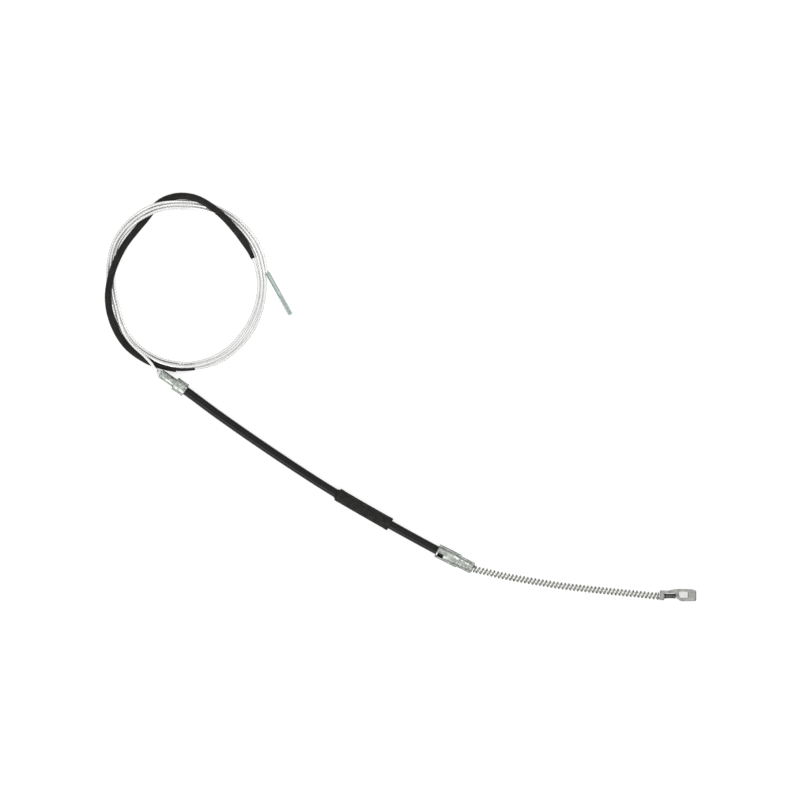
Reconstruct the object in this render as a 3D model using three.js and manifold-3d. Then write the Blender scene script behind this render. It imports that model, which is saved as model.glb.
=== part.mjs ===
// Parking brake cable lying flat, as it does before it is fitted: a yoke and a return spring at the wheel end,
// a stiff casing between two ferrules, and the rest of the wire cable in a loose coil, ending in a threaded rod.
// Units are millimetres and +Z is up. The layout is drawn from above, +X to the right and +Y away from the
// reader, and at the end the whole part is moved so that the casing assembly stands centred on the origin.
import * as THREE from "three";
import { mergeVertices } from "three/addons/utils/BufferGeometryUtils.js";
import Module from "manifold-3d";

const wasm = await Module();
wasm.setup();

// Clearance kept between any two pieces
const clearance = 0.3;

// Wire cable, and the casing's three layers around it
const cableDiameter = 3.1;
const linerWall = 0.4;
const armourWall = 0.6;
const jacketWall = 0.95;

// Ferrule at the wheel end: a sleeve over the casing and a nose for the spring
const wheelSleeveDiameter = 13.9;
const wheelSleeveLength = 24.1;
const wheelNoseDiameter = 11.5;
const wheelNoseLength = 15.9;
const wheelNoseChamfer = 1.6;
const wheelSeatDepth = 21;
const wheelNoseBore = 5;
const windowLength = 6.4;
const windowWidth = 4.8;
const windowFromRim = 1.5;
const windowLean = 28;
const dentRadius = 1.5;
const dentDepth = 0.45;
const dentFromShoulder = 3.4;
const dentCount = 4;

// Ferrule at the body end: a short sleeve and a slim nose closed by a tapered bush
const bodySleeveDiameter = 13.6;
const bodySleeveLength = 12.9;
const bodyNoseDiameter = 8.7;
const bodyNoseLength = 17.2;
const bodyNoseChamfer = 0.5;
const bodySeatDepth = 11;
const bodyNoseBore = 5.6;
const bodyTilt = 3;
const bushHeadLength = 3.4;
const bushStemLength = 9;
const bushTipWall = 0.55;
const rimChamfer = 0.5;

// Rubber guide sleeve on the casing
const guideLength = 60.7;
const guideWall = 2.05;

// Return spring
const springDiameter = 7.4;
const springWire = 1.3;
const springPitch = 3.8;

// Yoke folded from strap, with a window for the brake lever's hook, and the cable's end nipple in it
const yokeWidth = 8;
const neckLength = 3.6;
const neckBelow = 4;
const neckAbove = 5.5;
const strapThickness = 2.3;
const windowSpan = 9.3;
const windowHeight = 6.5;
const windowRise = 4.6;
const lowerArm = 3.1;
const endWall = 8.2;
const endRounding = 3.2;
const nippleLength = 11.2;
const nippleDiameter = 4.3;
const collarDiameter = 5;
const collarLength = 1.3;
const nippleFloor = 1.6;

// Protective hose on the free cable, with a thin liner that stands out of one end
const hoseDiameter = 6.9;
const hoseWall = 1;
const hoseLinerWall = 0.35;
const linerProjection = 18.5;
const linerLength = 34;

// Threaded rod end swaged on the cable
const swageDiameter = 4.3;
const swageLength = 26;
const threadDiameter = 5;
const threadLength = 22;
const threadChamfer = 0.7;

// Numbers of flat sides and steps
const turnedSides = 24;
const tubeSides = 10;
const cableSides = 8;
const springSides = 5;
const springStepsPerTurn = 8;
const ringSteps = 48;
const casingStep = 16;
const hoseStep = 10;
const cableStep = 12;

// Where the ferrules' rims lie in the layout, and which way each nose points
const bodyRim = new THREE.Vector3(-214.1, 9.5, bodySleeveDiameter / 2);
const bodyHeading = 145.5;
const wheelRim = new THREE.Vector3(37.2, -150.1, wheelSleeveDiameter / 2);
const wheelHeading = -27;
const yokeNeck = new THREE.Vector3(260, -195.9, yokeWidth / 2);

// The casing's bends between the rims, then the spring's between the wheel ferrule and the yoke
const casingPoints = [
  [-182.5, -14.0, 4.8],
  [-137.1, -45.7, 4.5],
  [-88.6, -77.8, 6.3],
  [-62.4, -94.1, 6.8],
  [-36.2, -109.4, 6.8],
  [-9.8, -124.4, 6.8],
  [14.5, -137.9, 6.85],
];
const springPoints = [
  [90, -172.5, 6.4],
  [105, -176.0, 5.7],
  [120, -178.8, 4.9],
  [140, -182.3, 4.1],
  [160, -185.5, 3.8],
  [180, -188.0, 3.75],
  [200, -190.2, 3.75],
  [220, -192.2, 3.75],
  [240, -194.2, 3.85],
];
const guideMiddle = new THREE.Vector3(-36.0, -109.6, 6.8);

// The free cable between the bush and the coil, then between the coil and the rod
const leadPoints = [
  [-244.3, 31.1, 8.6],
  [-246.7, 34.4, 8.65],
  [-249.4, 37.9, 8.6],
  [-252.6, 41.3, 8.3],
  [-255.8, 44.6, 7.9],
];
const tailPoints = [
  [-142.5, 158.3, 1.6],
  [-139.7, 152.5, 1.6],
  [-137.3, 146.4, 1.6],
  [-136.0, 140.5, 1.7],
  [-135.0, 135.4, 2.0],
];
const rodStart = new THREE.Vector3(-132.4, 127.0, threadDiameter / 2);
const rodHeading = -61;
const rodApproach = 2.2;

// The coil's middle, and its solid's inner radius, outer radius and height at every 30 degrees from +X
const coilCentre = new THREE.Vector2(-214, 117);
const coilShape = [
  [71.4, 80.9, 3.1],
  [74.4, 83.6, 3.1],
  [74.3, 83.8, 3.1],
  [72.8, 82.8, 4.5],
  [75.4, 86.0, 10.1],
  [76.8, 84.2, 6.0],
  [70.2, 79.8, 3.1],
  [71.9, 80.2, 6.0],
  [77.2, 85.0, 9.7],
  [78.4, 85.6, 9.2],
  [76.2, 86.9, 3.1],
  [71.8, 82.6, 3.1],
];

// The hose's way through the coil: angle, radius and height of its middle
const hoseKeys = [
  [276, 85.6, 3.1],
  [270, 85.9, 3.35],
  [263, 86.3, 3.5],
  [246, 86.7, 3.5],
  [230, 86.5, 3.5],
  [220, 85.7, 3.5],
  [210, 84.3, 3.6],
  [200, 82.2, 4.7],
  [190, 79.5, 6.3],
  [180, 76.9, 6.7],
  [170, 75.1, 6.7],
  [160, 73.9, 6.0],
  [148, 73.1, 3.8],
  [136, 73.1, 3.5],
  [128, 74.5, 3.5],
  [121, 77.0, 3.5],
  [114, 81.6, 3.5],
  [107, 85.6, 3.5],
  [98, 87.3, 3.6],
  [90, 87.0, 4.7],
  [82, 85.1, 6.2],
  [74, 81.6, 6.7],
  [66, 78.2, 6.7],
  [57, 75.0, 6.5],
  [48, 72.7, 5.3],
  [38, 71.5, 3.8],
  [28, 71.3, 3.5],
  [20, 71.5, 3.5],
];

// Sizes that follow from the ones above
const cableBore = cableDiameter + 2 * clearance;
const linerDiameter = cableBore + 2 * linerWall;
const armourBore = linerDiameter + 2 * clearance;
const armourDiameter = armourBore + 2 * armourWall;
const jacketBore = armourDiameter + 2 * clearance;
const jacketDiameter = jacketBore + 2 * jacketWall;
const casingBore = jacketDiameter + 2 * clearance;
const hoseLinerDiameter = cableBore + 2 * hoseLinerWall;

// Finishes
const finish = (color, roughness, metalness) => new THREE.MeshStandardMaterial({ color, roughness, metalness });
const zinc = () => finish(0x9a9f9a, 0.4, 0.9);
const wire = () => finish(0xc4c8c8, 0.35, 0.9);
const blackPlastic = () => finish(0x181818, 0.45, 0);
const blackRubber = () => finish(0x2c2c2a, 0.8, 0);
const nylon = () => finish(0xd8d8cf, 0.5, 0);

// A stretch of a curve between two lengths along it, running straight on past either end
class Stretch extends THREE.Curve {
  constructor(base, from, to) {
    super();
    this.base = base;
    this.from = from;
    this.to = to;
    this.arcLengthDivisions = 600;
  }

  getPoint(t) {
    const whole = this.base.getLength();
    const along = THREE.MathUtils.lerp(this.from, this.to, t);
    const inside = THREE.MathUtils.clamp(along, 0, whole) / whole;
    const point = this.base.getPointAt(inside);
    return point.addScaledVector(this.base.getTangentAt(inside), along - inside * whole);
  }
}

// A helix wound around a curve that stays nearly level
class WoundCurve extends THREE.Curve {
  constructor(core, radius, turns) {
    super();
    this.core = core;
    this.radius = radius;
    this.turns = turns;
    this.arcLengthDivisions = Math.round(turns * springStepsPerTurn * 4);
  }

  getPoint(t) {
    const angle = 2 * Math.PI * this.turns * t;
    const tangent = this.core.getTangentAt(t);
    const side = new THREE.Vector3(0, 0, 1).cross(tangent).normalize();
    const up = tangent.clone().cross(side);
    return this.core.getPointAt(t)
      .addScaledVector(side, this.radius * Math.cos(angle))
      .addScaledVector(up, this.radius * Math.sin(angle));
  }
}

function throughPoints(points) {
  const curve = new THREE.CatmullRomCurve3(points, false, "centripetal");
  curve.arcLengthDivisions = 1200;
  return curve;
}

const asVectors = (rows) => rows.map(([x, y, z]) => new THREE.Vector3(x, y, z));

function lengthNear(curve, point) {
  const samples = 3000;
  let best = 0;
  for (let i = 1; i <= samples; i += 1) {
    const here = curve.getPointAt(i / samples).distanceTo(point);
    if (here < curve.getPointAt(best / samples).distanceTo(point)) best = i;
  }
  return (best / samples) * curve.getLength();
}

function polygon(diameter, sides) {
  const corners = [];
  for (let i = 0; i < sides; i += 1) {
    const angle = (2 * Math.PI * i) / sides;
    corners.push(new THREE.Vector2(Math.cos(angle), Math.sin(angle)).multiplyScalar(diameter / 2));
  }
  return corners;
}

// A tube or, with no bore, a solid cord along a curve
function tube(curve, diameter, bore, sides, steps) {
  const section = new THREE.Shape(polygon(diameter, sides));
  if (bore > 0) section.holes.push(new THREE.Path(polygon(bore, sides).reverse()));
  return new THREE.ExtrudeGeometry(section, { steps, extrudePath: curve });
}

const stepsFor = (curve, stepLength) => Math.max(2, Math.round(curve.getLength() / stepLength));

// A turned piece from [radius, distance along the axis] rows, which run round the section once
function turned(rows, sides = turnedSides) {
  return new THREE.LatheGeometry(rows.map(([radius, along]) => new THREE.Vector2(radius, along)), sides);
}

function headingVector(degrees, tilt = 0) {
  const turn = THREE.MathUtils.degToRad(degrees);
  const rise = THREE.MathUtils.degToRad(tilt);
  return new THREE.Vector3(
    Math.cos(turn) * Math.cos(rise),
    Math.sin(turn) * Math.cos(rise),
    Math.sin(rise),
  );
}

// Turns a piece made along +Y to lie along a direction, from a start point
function laidAlong(geometry, start, direction) {
  const across = new THREE.Vector3(0, 0, 1).cross(direction).normalize();
  const up = direction.clone().cross(across);
  const place = new THREE.Matrix4().makeBasis(across.negate(), direction, up).setPosition(start);
  return geometry.applyMatrix4(place);
}

function toSolid(geometry) {
  const bare = geometry.clone();
  bare.deleteAttribute("normal");
  bare.deleteAttribute("uv");
  const merged = mergeVertices(bare, 1e-4);
  return new wasm.Manifold(new wasm.Mesh({
    numProp: 3,
    vertProperties: Float32Array.from(merged.attributes.position.array),
    triVerts: Uint32Array.from(merged.index.array),
  }));
}

function toGeometry(solid) {
  const mesh = solid.getMesh();
  const geometry = new THREE.BufferGeometry();
  const places = [];
  for (let i = 0; i < mesh.vertProperties.length; i += mesh.numProp) {
    places.push(...mesh.vertProperties.slice(i, i + 3));
  }
  geometry.setAttribute("position", new THREE.Float32BufferAttribute(places, 3));
  geometry.setIndex([...mesh.triVerts]);
  const flat = geometry.toNonIndexed();
  flat.computeVertexNormals();
  return flat;
}

const cut = (geometry, cutters) => toGeometry(
  cutters.reduce((solid, cutter) => solid.subtract(toSolid(cutter)), toSolid(geometry)),
);

const casingAssembly = new THREE.Group();
const freeCable = new THREE.Group();

function add(group, name, geometry, material) {
  const mesh = new THREE.Mesh(geometry, material);
  mesh.name = name;
  group.add(mesh);
  return mesh;
}

// The wheel ferrule's nose points at the yoke, the body ferrule's at the coil
const wheelDirection = headingVector(wheelHeading);
const bodyDirection = headingVector(bodyHeading, bodyTilt);
const wheelLength = wheelSleeveLength + wheelNoseLength;
const bodyLength = bodySleeveLength + bodyNoseLength;
const bushTip = bodyLength + bushHeadLength;
const onWheelFerrule = (along) => wheelRim.clone().addScaledVector(wheelDirection, along);
const onBodyFerrule = (along) => bodyRim.clone().addScaledVector(bodyDirection, along);

// Middle line of the cable from the bush's tip to the bottom of the nipple's bore
const nippleStart = neckLength + clearance;
const heldEnd = nippleStart + nippleLength - nippleFloor - clearance;
const onYoke = (along) => yokeNeck.clone().add(new THREE.Vector3(along, 0, 0));
const heldRoute = throughPoints([
  onBodyFerrule(bushTip),
  onBodyFerrule(bodyLength),
  onBodyFerrule(bodySleeveLength),
  onBodyFerrule(0),
  ...asVectors(casingPoints),
  onWheelFerrule(0),
  onWheelFerrule(wheelSleeveLength),
  onWheelFerrule(wheelLength),
  ...asVectors(springPoints),
  onYoke(-3),
  onYoke(neckLength),
  onYoke(heldEnd),
]);
const lengthAt = (point) => lengthNear(heldRoute, point);

function makeInnerCable() {
  const steps = stepsFor(heldRoute, cableStep);
  add(casingAssembly, "inner_cable", tube(heldRoute, cableDiameter, 0, cableSides, steps), wire());
}

function makeCasing() {
  const start = lengthAt(onBodyFerrule(bodySeatDepth - clearance));
  const end = lengthAt(onWheelFerrule(wheelSeatDepth - clearance));
  const casing = new Stretch(heldRoute, start, end);
  const steps = stepsFor(casing, casingStep);
  add(casingAssembly, "casing_liner", tube(casing, linerDiameter, cableBore, tubeSides, steps), nylon());
  add(casingAssembly, "casing_armour", tube(casing, armourDiameter, armourBore, tubeSides, steps), wire());
  add(casingAssembly, "casing_jacket", tube(casing, jacketDiameter, jacketBore, tubeSides, steps), blackPlastic());
}

function makeGuideSleeve() {
  const middle = lengthAt(guideMiddle);
  const run = new Stretch(heldRoute, middle - guideLength / 2, middle + guideLength / 2);
  const geometry = tube(run, casingBore + 2 * guideWall, casingBore, turnedSides / 2, 6);
  add(casingAssembly, "guide_sleeve", geometry, blackRubber());
}

function makeWheelFerrule() {
  const outer = wheelSleeveDiameter / 2;
  const nose = wheelNoseDiameter / 2;
  const profile = [
    [casingBore / 2, 0],
    [outer - rimChamfer, 0],
    [outer, rimChamfer],
    [outer, wheelSleeveLength],
    [nose, wheelSleeveLength],
    [nose, wheelLength - wheelNoseChamfer],
    [nose - wheelNoseChamfer, wheelLength],
    [wheelNoseBore / 2, wheelLength],
    [wheelNoseBore / 2, wheelSeatDepth],
    [casingBore / 2, wheelSeatDepth],
    [casingBore / 2, 0],
  ];
  const middle = outer - (outer - casingBore / 2) / 2;
  const window = new THREE.BoxGeometry(windowWidth, windowLength, outer)
    .translate(0, windowFromRim + windowLength / 2, middle)
    .rotateY(THREE.MathUtils.degToRad(windowLean));
  const dents = [];
  for (let i = 0; i < dentCount; i += 1) {
    const dent = new THREE.IcosahedronGeometry(dentRadius, 1)
      .translate(0, wheelSleeveLength - dentFromShoulder, outer + dentRadius - dentDepth)
      .rotateY((2 * Math.PI * i) / dentCount);
    dents.push(dent);
  }
  const geometry = cut(turned(profile), [window, ...dents]);
  add(casingAssembly, "wheel_ferrule", laidAlong(geometry, wheelRim, wheelDirection), zinc());
}

function makeBodyFerrule() {
  const outer = bodySleeveDiameter / 2;
  const nose = bodyNoseDiameter / 2;
  const profile = [
    [casingBore / 2, 0],
    [outer - rimChamfer, 0],
    [outer, rimChamfer],
    [outer, bodySleeveLength],
    [nose, bodySleeveLength],
    [nose, bodyLength - bodyNoseChamfer],
    [nose - bodyNoseChamfer, bodyLength],
    [bodyNoseBore / 2, bodyLength],
    [bodyNoseBore / 2, bodySeatDepth],
    [casingBore / 2, bodySeatDepth],
    [casingBore / 2, 0],
  ];
  const geometry = turned(profile);
  add(casingAssembly, "body_ferrule", laidAlong(geometry, bodyRim, bodyDirection), zinc());
}

function makeNoseBush() {
  const stem = bodyNoseBore / 2 - clearance;
  const head = bodyNoseDiameter / 2 - bodyNoseChamfer;
  const base = bodyLength + clearance;
  const profile = [
    [cableBore / 2, base - clearance - bushStemLength],
    [stem, base - clearance - bushStemLength],
    [stem, base],
    [head, base],
    [cableBore / 2 + bushTipWall, bushTip],
    [cableBore / 2, bushTip],
    [cableBore / 2, base - clearance - bushStemLength],
  ];
  add(casingAssembly, "nose_bush", laidAlong(turned(profile), bodyRim, bodyDirection), nylon());
}

function makeSpring() {
  const start = lengthAt(onWheelFerrule(wheelLength)) + clearance + springWire / 2;
  const end = lengthAt(yokeNeck) - clearance - springWire / 2;
  const core = new Stretch(heldRoute, start, end);
  const turns = Math.round((end - start) / springPitch);
  const coils = new WoundCurve(core, (springDiameter - springWire) / 2, turns);
  const geometry = tube(coils, springWire, 0, springSides, turns * springStepsPerTurn);
  add(casingAssembly, "return_spring", geometry, wire());
}

// The yoke's outline seen from above, measured from the cable's middle line at the neck's outer face
function makeYoke() {
  const pocketEnd = nippleStart + nippleLength + clearance;
  const windowStart = pocketEnd + strapThickness + 0.8;
  const windowEnd = windowStart + windowSpan;
  const tip = windowEnd + endWall;
  const windowFloor = windowRise - windowHeight;
  const top = windowRise + strapThickness;
  const bottom = windowFloor - lowerArm;
  const outline = new THREE.Shape();
  outline.moveTo(0, -neckBelow);
  outline.lineTo(neckLength, -neckBelow);
  outline.lineTo(neckLength, neckAbove - strapThickness);
  outline.lineTo(pocketEnd - 1.6, neckAbove - strapThickness + 0.4);
  outline.lineTo(pocketEnd, neckAbove - strapThickness - 1);
  outline.lineTo(pocketEnd, windowFloor + 1);
  outline.lineTo(pocketEnd + 3, bottom + 0.8);
  outline.lineTo(pocketEnd + 4.8, bottom);
  outline.lineTo(tip - 2, bottom);
  outline.quadraticCurveTo(tip, bottom, tip, bottom + 2);
  outline.lineTo(tip, top - 3);
  outline.quadraticCurveTo(tip, top - 1, tip - 2.4, top - 0.6);
  outline.quadraticCurveTo(windowEnd + 1, top, windowStart + 1, top);
  outline.quadraticCurveTo(nippleStart + 5, top, nippleStart, neckAbove);
  outline.lineTo(0.6, neckAbove);
  outline.lineTo(0, neckAbove - 0.6);
  const window = new THREE.Path();
  window.moveTo(windowStart, windowRise);
  window.lineTo(windowStart, windowFloor + 3);
  window.lineTo(windowStart + 2, windowFloor);
  window.lineTo(windowEnd, windowFloor);
  window.lineTo(windowEnd, windowRise);
  outline.holes.push(window);
  const strap = new THREE.ExtrudeGeometry(outline, { depth: yokeWidth, bevelEnabled: false, curveSegments: 5 });

  // Its end is rounded across the strap, so that the lever's hook rolls on it
  const side = new THREE.Shape();
  side.moveTo(-1, -1);
  side.lineTo(windowEnd, -1);
  side.lineTo(windowEnd, 0);
  side.lineTo(tip - endRounding, 0);
  side.absarc(tip - endRounding, endRounding, endRounding, -Math.PI / 2, 0);
  side.lineTo(tip, yokeWidth - endRounding);
  side.absarc(tip - endRounding, yokeWidth - endRounding, endRounding, 0, Math.PI / 2);
  side.lineTo(windowEnd, yokeWidth);
  side.lineTo(windowEnd, yokeWidth + 1);
  side.lineTo(-1, yokeWidth + 1);
  const depth = 40;
  const envelope = new THREE.ExtrudeGeometry(side, { depth, bevelEnabled: false, curveSegments: 4 })
    .translate(0, 0, -depth / 2)
    .rotateX(Math.PI / 2);
  const bore = new THREE.CylinderGeometry(cableBore / 2, cableBore / 2, neckLength + 2, 16)
    .rotateZ(Math.PI / 2)
    .translate(neckLength / 2, 0, yokeWidth / 2);
  const solid = toSolid(strap).intersect(toSolid(envelope)).subtract(toSolid(bore));
  const mesh = add(casingAssembly, "yoke", toGeometry(solid), zinc());
  mesh.position.set(yokeNeck.x, yokeNeck.y, 0);
}

function makeNipple() {
  const collar = collarDiameter / 2;
  const waist = nippleDiameter / 2;
  const ease = collar - waist;
  const profile = [
    [0, nippleLength - nippleFloor],
    [cableBore / 2, nippleLength - nippleFloor],
    [cableBore / 2, 0],
    [collar, 0],
    [collar, collarLength],
    [waist, collarLength + ease],
    [waist, nippleLength - collarLength - ease],
    [collar, nippleLength - collarLength],
    [collar, nippleLength],
    [0, nippleLength],
  ];
  const geometry = laidAlong(turned(profile, 16), onYoke(nippleStart), new THREE.Vector3(1, 0, 0));
  add(casingAssembly, "cable_nipple", geometry, zinc());
}

// The free cable beyond the bush: the way into the coil, the coil, the hose on it, and the way to the rod
const coilPoint = ([angle, radius, height]) => {
  const turn = THREE.MathUtils.degToRad(angle);
  return new THREE.Vector3(
    coilCentre.x + radius * Math.cos(turn),
    coilCentre.y + radius * Math.sin(turn),
    height,
  );
};
const leadRoute = throughPoints([onBodyFerrule(bushTip + clearance), ...asVectors(leadPoints)]);
const hoseRoute = throughPoints(hoseKeys.map(coilPoint));
const rodDirection = headingVector(rodHeading);
const tailRoute = throughPoints([
  ...asVectors(tailPoints),
  rodStart.clone().addScaledVector(rodDirection, -rodApproach),
  rodStart.clone().addScaledVector(rodDirection, -clearance),
]);

function makeHose() {
  const whole = hoseRoute.getLength();
  const hose = new Stretch(hoseRoute, linerProjection, whole);
  const liner = new Stretch(hoseRoute, 0, linerLength);
  const hoseSteps = stepsFor(hose, hoseStep);
  const inside = tube(hoseRoute, cableDiameter, 0, cableSides, hoseSteps);
  const hoseTube = tube(hose, hoseDiameter, hoseDiameter - 2 * hoseWall, tubeSides, hoseSteps);
  const linerTube = tube(liner, hoseLinerDiameter, cableBore, cableSides, stepsFor(liner, 6));
  add(freeCable, "hose_cable", inside, wire());
  add(freeCable, "protective_hose", hoseTube, blackRubber());
  add(freeCable, "hose_liner", linerTube, blackPlastic());
}

function makeRodEnd() {
  const swage = swageDiameter / 2;
  const thread = threadDiameter / 2;
  const whole = swageLength + threadLength;
  const profile = [
    [0, 0],
    [swage - threadChamfer / 2, 0],
    [swage, threadChamfer / 2],
    [swage, swageLength],
    [thread, swageLength + (thread - swage)],
    [thread, whole - threadChamfer],
    [thread - threadChamfer, whole],
    [0, whole],
  ];
  const geometry = laidAlong(turned(profile, 16), rodStart, rodDirection);
  add(freeCable, "threaded_end", geometry, zinc());
}

function makeLeadAndTail() {
  add(freeCable, "cable_lead", tube(leadRoute, cableDiameter, 0, cableSides, 5), wire());
  add(freeCable, "cable_tail", tube(tailRoute, cableDiameter, 0, cableSides, 7), wire());
}

// One closed band of the coil's outer shape, cut clear of whatever else passes through it
function makeCoil() {
  const shape = new THREE.CatmullRomCurve3(asVectors(coilShape), true, "catmullrom", 0.5);
  const edge = 1.1;
  const places = [];
  const faces = [];
  const corners = 8;
  for (let i = 0; i < ringSteps; i += 1) {
    const { x: inner, y: outer, z: top } = shape.getPoint(i / ringSteps);
    const section = [
      [inner + edge, 0],
      [outer - edge, 0],
      [outer, edge],
      [outer, top - edge],
      [outer - edge, top],
      [inner + edge, top],
      [inner, top - edge],
      [inner, edge],
    ];
    for (const [radius, height] of section) {
      places.push(...coilPoint([(360 * i) / ringSteps, radius, height]).toArray());
    }
    for (let j = 0; j < corners; j += 1) {
      const here = i * corners;
      const next = ((i + 1) % ringSteps) * corners;
      const after = (j + 1) % corners;
      faces.push(here + j, next + after, here + after, here + j, next + j, next + after);
    }
  }
  const band = new THREE.BufferGeometry();
  band.setAttribute("position", new THREE.Float32BufferAttribute(places, 3));
  band.setIndex(faces);

  const grown = (curve, diameter, stepLength) => {
    const longer = new Stretch(curve, -clearance, curve.getLength() + clearance);
    return tube(longer, diameter + 2 * clearance, 0, tubeSides, stepsFor(longer, stepLength));
  };
  const rod = new Stretch(new THREE.LineCurve3(
    rodStart,
    rodStart.clone().addScaledVector(rodDirection, swageLength),
  ), -clearance, swageLength);
  const hose = new Stretch(hoseRoute, linerProjection, hoseRoute.getLength());
  const liner = new Stretch(hoseRoute, 0, linerLength);
  const geometry = cut(band, [
    grown(hose, hoseDiameter, hoseStep),
    grown(liner, hoseLinerDiameter, 6),
    grown(leadRoute, cableDiameter, 4),
    grown(tailRoute, cableDiameter, 5),
    grown(rod, swageDiameter, 10),
  ]);
  add(freeCable, "cable_coil", geometry, wire());
}

makeYoke();
makeNipple();
makeSpring();
makeWheelFerrule();
makeCasing();
makeInnerCable();
makeGuideSleeve();
makeBodyFerrule();
makeNoseBush();
makeLeadAndTail();
makeHose();
makeRodEnd();
makeCoil();

const parkingBrakeCable = new THREE.Group();
parkingBrakeCable.add(casingAssembly, freeCable);
parkingBrakeCable.updateMatrixWorld(true);
const assemblyBox = new THREE.Box3().setFromObject(casingAssembly, true);
const middle = assemblyBox.getCenter(new THREE.Vector3());
parkingBrakeCable.position.set(-middle.x, -middle.y, 0);

export default parkingBrakeCable;
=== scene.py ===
import math

import bpy
import bmesh
from mathutils import Matrix, Vector


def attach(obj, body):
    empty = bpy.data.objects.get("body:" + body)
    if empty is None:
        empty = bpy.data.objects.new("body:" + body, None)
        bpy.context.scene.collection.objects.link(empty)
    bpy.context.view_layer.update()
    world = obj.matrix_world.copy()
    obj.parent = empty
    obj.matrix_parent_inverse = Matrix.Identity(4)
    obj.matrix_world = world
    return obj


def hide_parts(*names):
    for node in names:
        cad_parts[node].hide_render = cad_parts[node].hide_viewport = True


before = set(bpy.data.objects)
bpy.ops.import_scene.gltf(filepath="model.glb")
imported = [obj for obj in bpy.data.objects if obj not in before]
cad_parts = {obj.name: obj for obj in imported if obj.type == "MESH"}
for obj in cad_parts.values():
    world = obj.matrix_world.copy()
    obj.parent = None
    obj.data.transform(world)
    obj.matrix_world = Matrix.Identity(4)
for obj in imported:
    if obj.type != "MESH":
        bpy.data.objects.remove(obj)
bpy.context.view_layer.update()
print("frame loaded:", len(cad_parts), "nodes")

mm = 0.001
gap = 0.3
layoutShift = Vector((-26.4851, 85.2367, 0.0))  # from the drawing's place, in millimetres, to the row's

# ------- camera: straight above, one millimetre to a pixel
view = {"middle": (-0.0264851, 0.0852367), "height": 4.0, "lens": 180.0, "sensor": 36.0, "clip": 20.0}
camera = bpy.data.objects.new("camera", bpy.data.cameras.new("camera"))
camera.data.lens = view["lens"]
camera.data.sensor_width = view["sensor"]
camera.data.clip_end = view["clip"]
camera.location = (*view["middle"], view["height"])
bpy.context.collection.objects.link(camera)
bpy.context.scene.camera = camera


# ------- routes
def smoothRoute(points, stepsBetween=24):
    # a centripetal spline through the points, as close points with their lengths from the start
    points = [Vector(p) for p in points]
    padded = [2 * points[0] - points[1], *points, 2 * points[-1] - points[-2]]
    fine = []
    for i in range(1, len(padded) - 2):
        before, here, after, last = padded[i - 1:i + 3]
        first, middle, final = (max((b - a).length, 1e-9) ** 0.5
                                for a, b in ((before, here), (here, after), (after, last)))
        slopeHere = ((here - before) / first - (after - before) / (first + middle) + (after - here) / middle) * middle
        slopeAfter = ((after - here) / middle - (last - here) / (middle + final) + (last - after) / final) * middle
        for step in range(stepsBetween):
            t = step / stepsBetween
            fine.append(here * (2 * t ** 3 - 3 * t ** 2 + 1) + slopeHere * (t ** 3 - 2 * t ** 2 + t)
                        + after * (3 * t ** 2 - 2 * t ** 3) + slopeAfter * (t ** 3 - t ** 2))
    fine.append(points[-1])
    lengths = [0.0]
    for a, b in zip(fine, fine[1:]):
        lengths.append(lengths[-1] + (b - a).length)
    return {"points": fine, "lengths": lengths, "whole": lengths[-1]}


def onRoute(route, along):
    # point, direction to the left and direction upwards, at a length along the route
    points, lengths = route["points"], route["lengths"]
    low, high = 0, len(lengths) - 1
    while high - low > 1:
        middle = (low + high) // 2
        if lengths[middle] <= along:
            low = middle
        else:
            high = middle
    share = (along - lengths[low]) / (lengths[high] - lengths[low])
    before, after = max(low - 1, 0), min(high + 1, len(points) - 1)
    inside = min(max(share, 0.0), 1.0)
    heading = ((points[high] - points[before]).normalized() * (1 - inside)
               + (points[after] - points[low]).normalized() * inside).normalized()
    left = Vector((0, 0, 1)).cross(heading).normalized()
    return points[low].lerp(points[high], share), left, heading.cross(left)


def lengthNear(route, point):
    target = Vector(point)
    nearest = min(range(len(route["points"])), key=lambda i: (route["points"][i] - target).length)
    return route["lengths"][nearest]


def headingOf(degrees, tilt=0.0):
    turn, rise = math.radians(degrees), math.radians(tilt)
    return Vector((math.cos(turn) * math.cos(rise), math.sin(turn) * math.cos(rise), math.sin(rise)))


def inRow(point):
    return (Vector(point) + layoutShift) * mm


# The ferrules' rims, lengths and headings, and the yoke's neck
bodyEnd = {"rim": (-214.1, 9.5, 6.8), "heading": 145.5, "tilt": 3.0, "sleeve": 12.9, "nose": 17.2, "bush": 3.4}
wheelEnd = {"rim": (37.2, -150.1, 6.95), "heading": -27.0, "tilt": 0.0, "sleeve": 24.1, "nose": 15.9}
yokeEnd = {"neck": (260.0, -195.9, 4.0), "neckLength": 3.6, "nipple": 11.2, "nippleFloor": 1.6}


def onFerrule(end, along):
    return Vector(end["rim"]) + headingOf(end["heading"], end["tilt"]) * along


bodyLength = bodyEnd["sleeve"] + bodyEnd["nose"]
bushTip = onFerrule(bodyEnd, bodyLength + bodyEnd["bush"])
wheelLength = wheelEnd["sleeve"] + wheelEnd["nose"]
nippleStart = yokeEnd["neckLength"] + gap
ropeEnd = nippleStart + yokeEnd["nipple"] - yokeEnd["nippleFloor"] - gap

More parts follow.
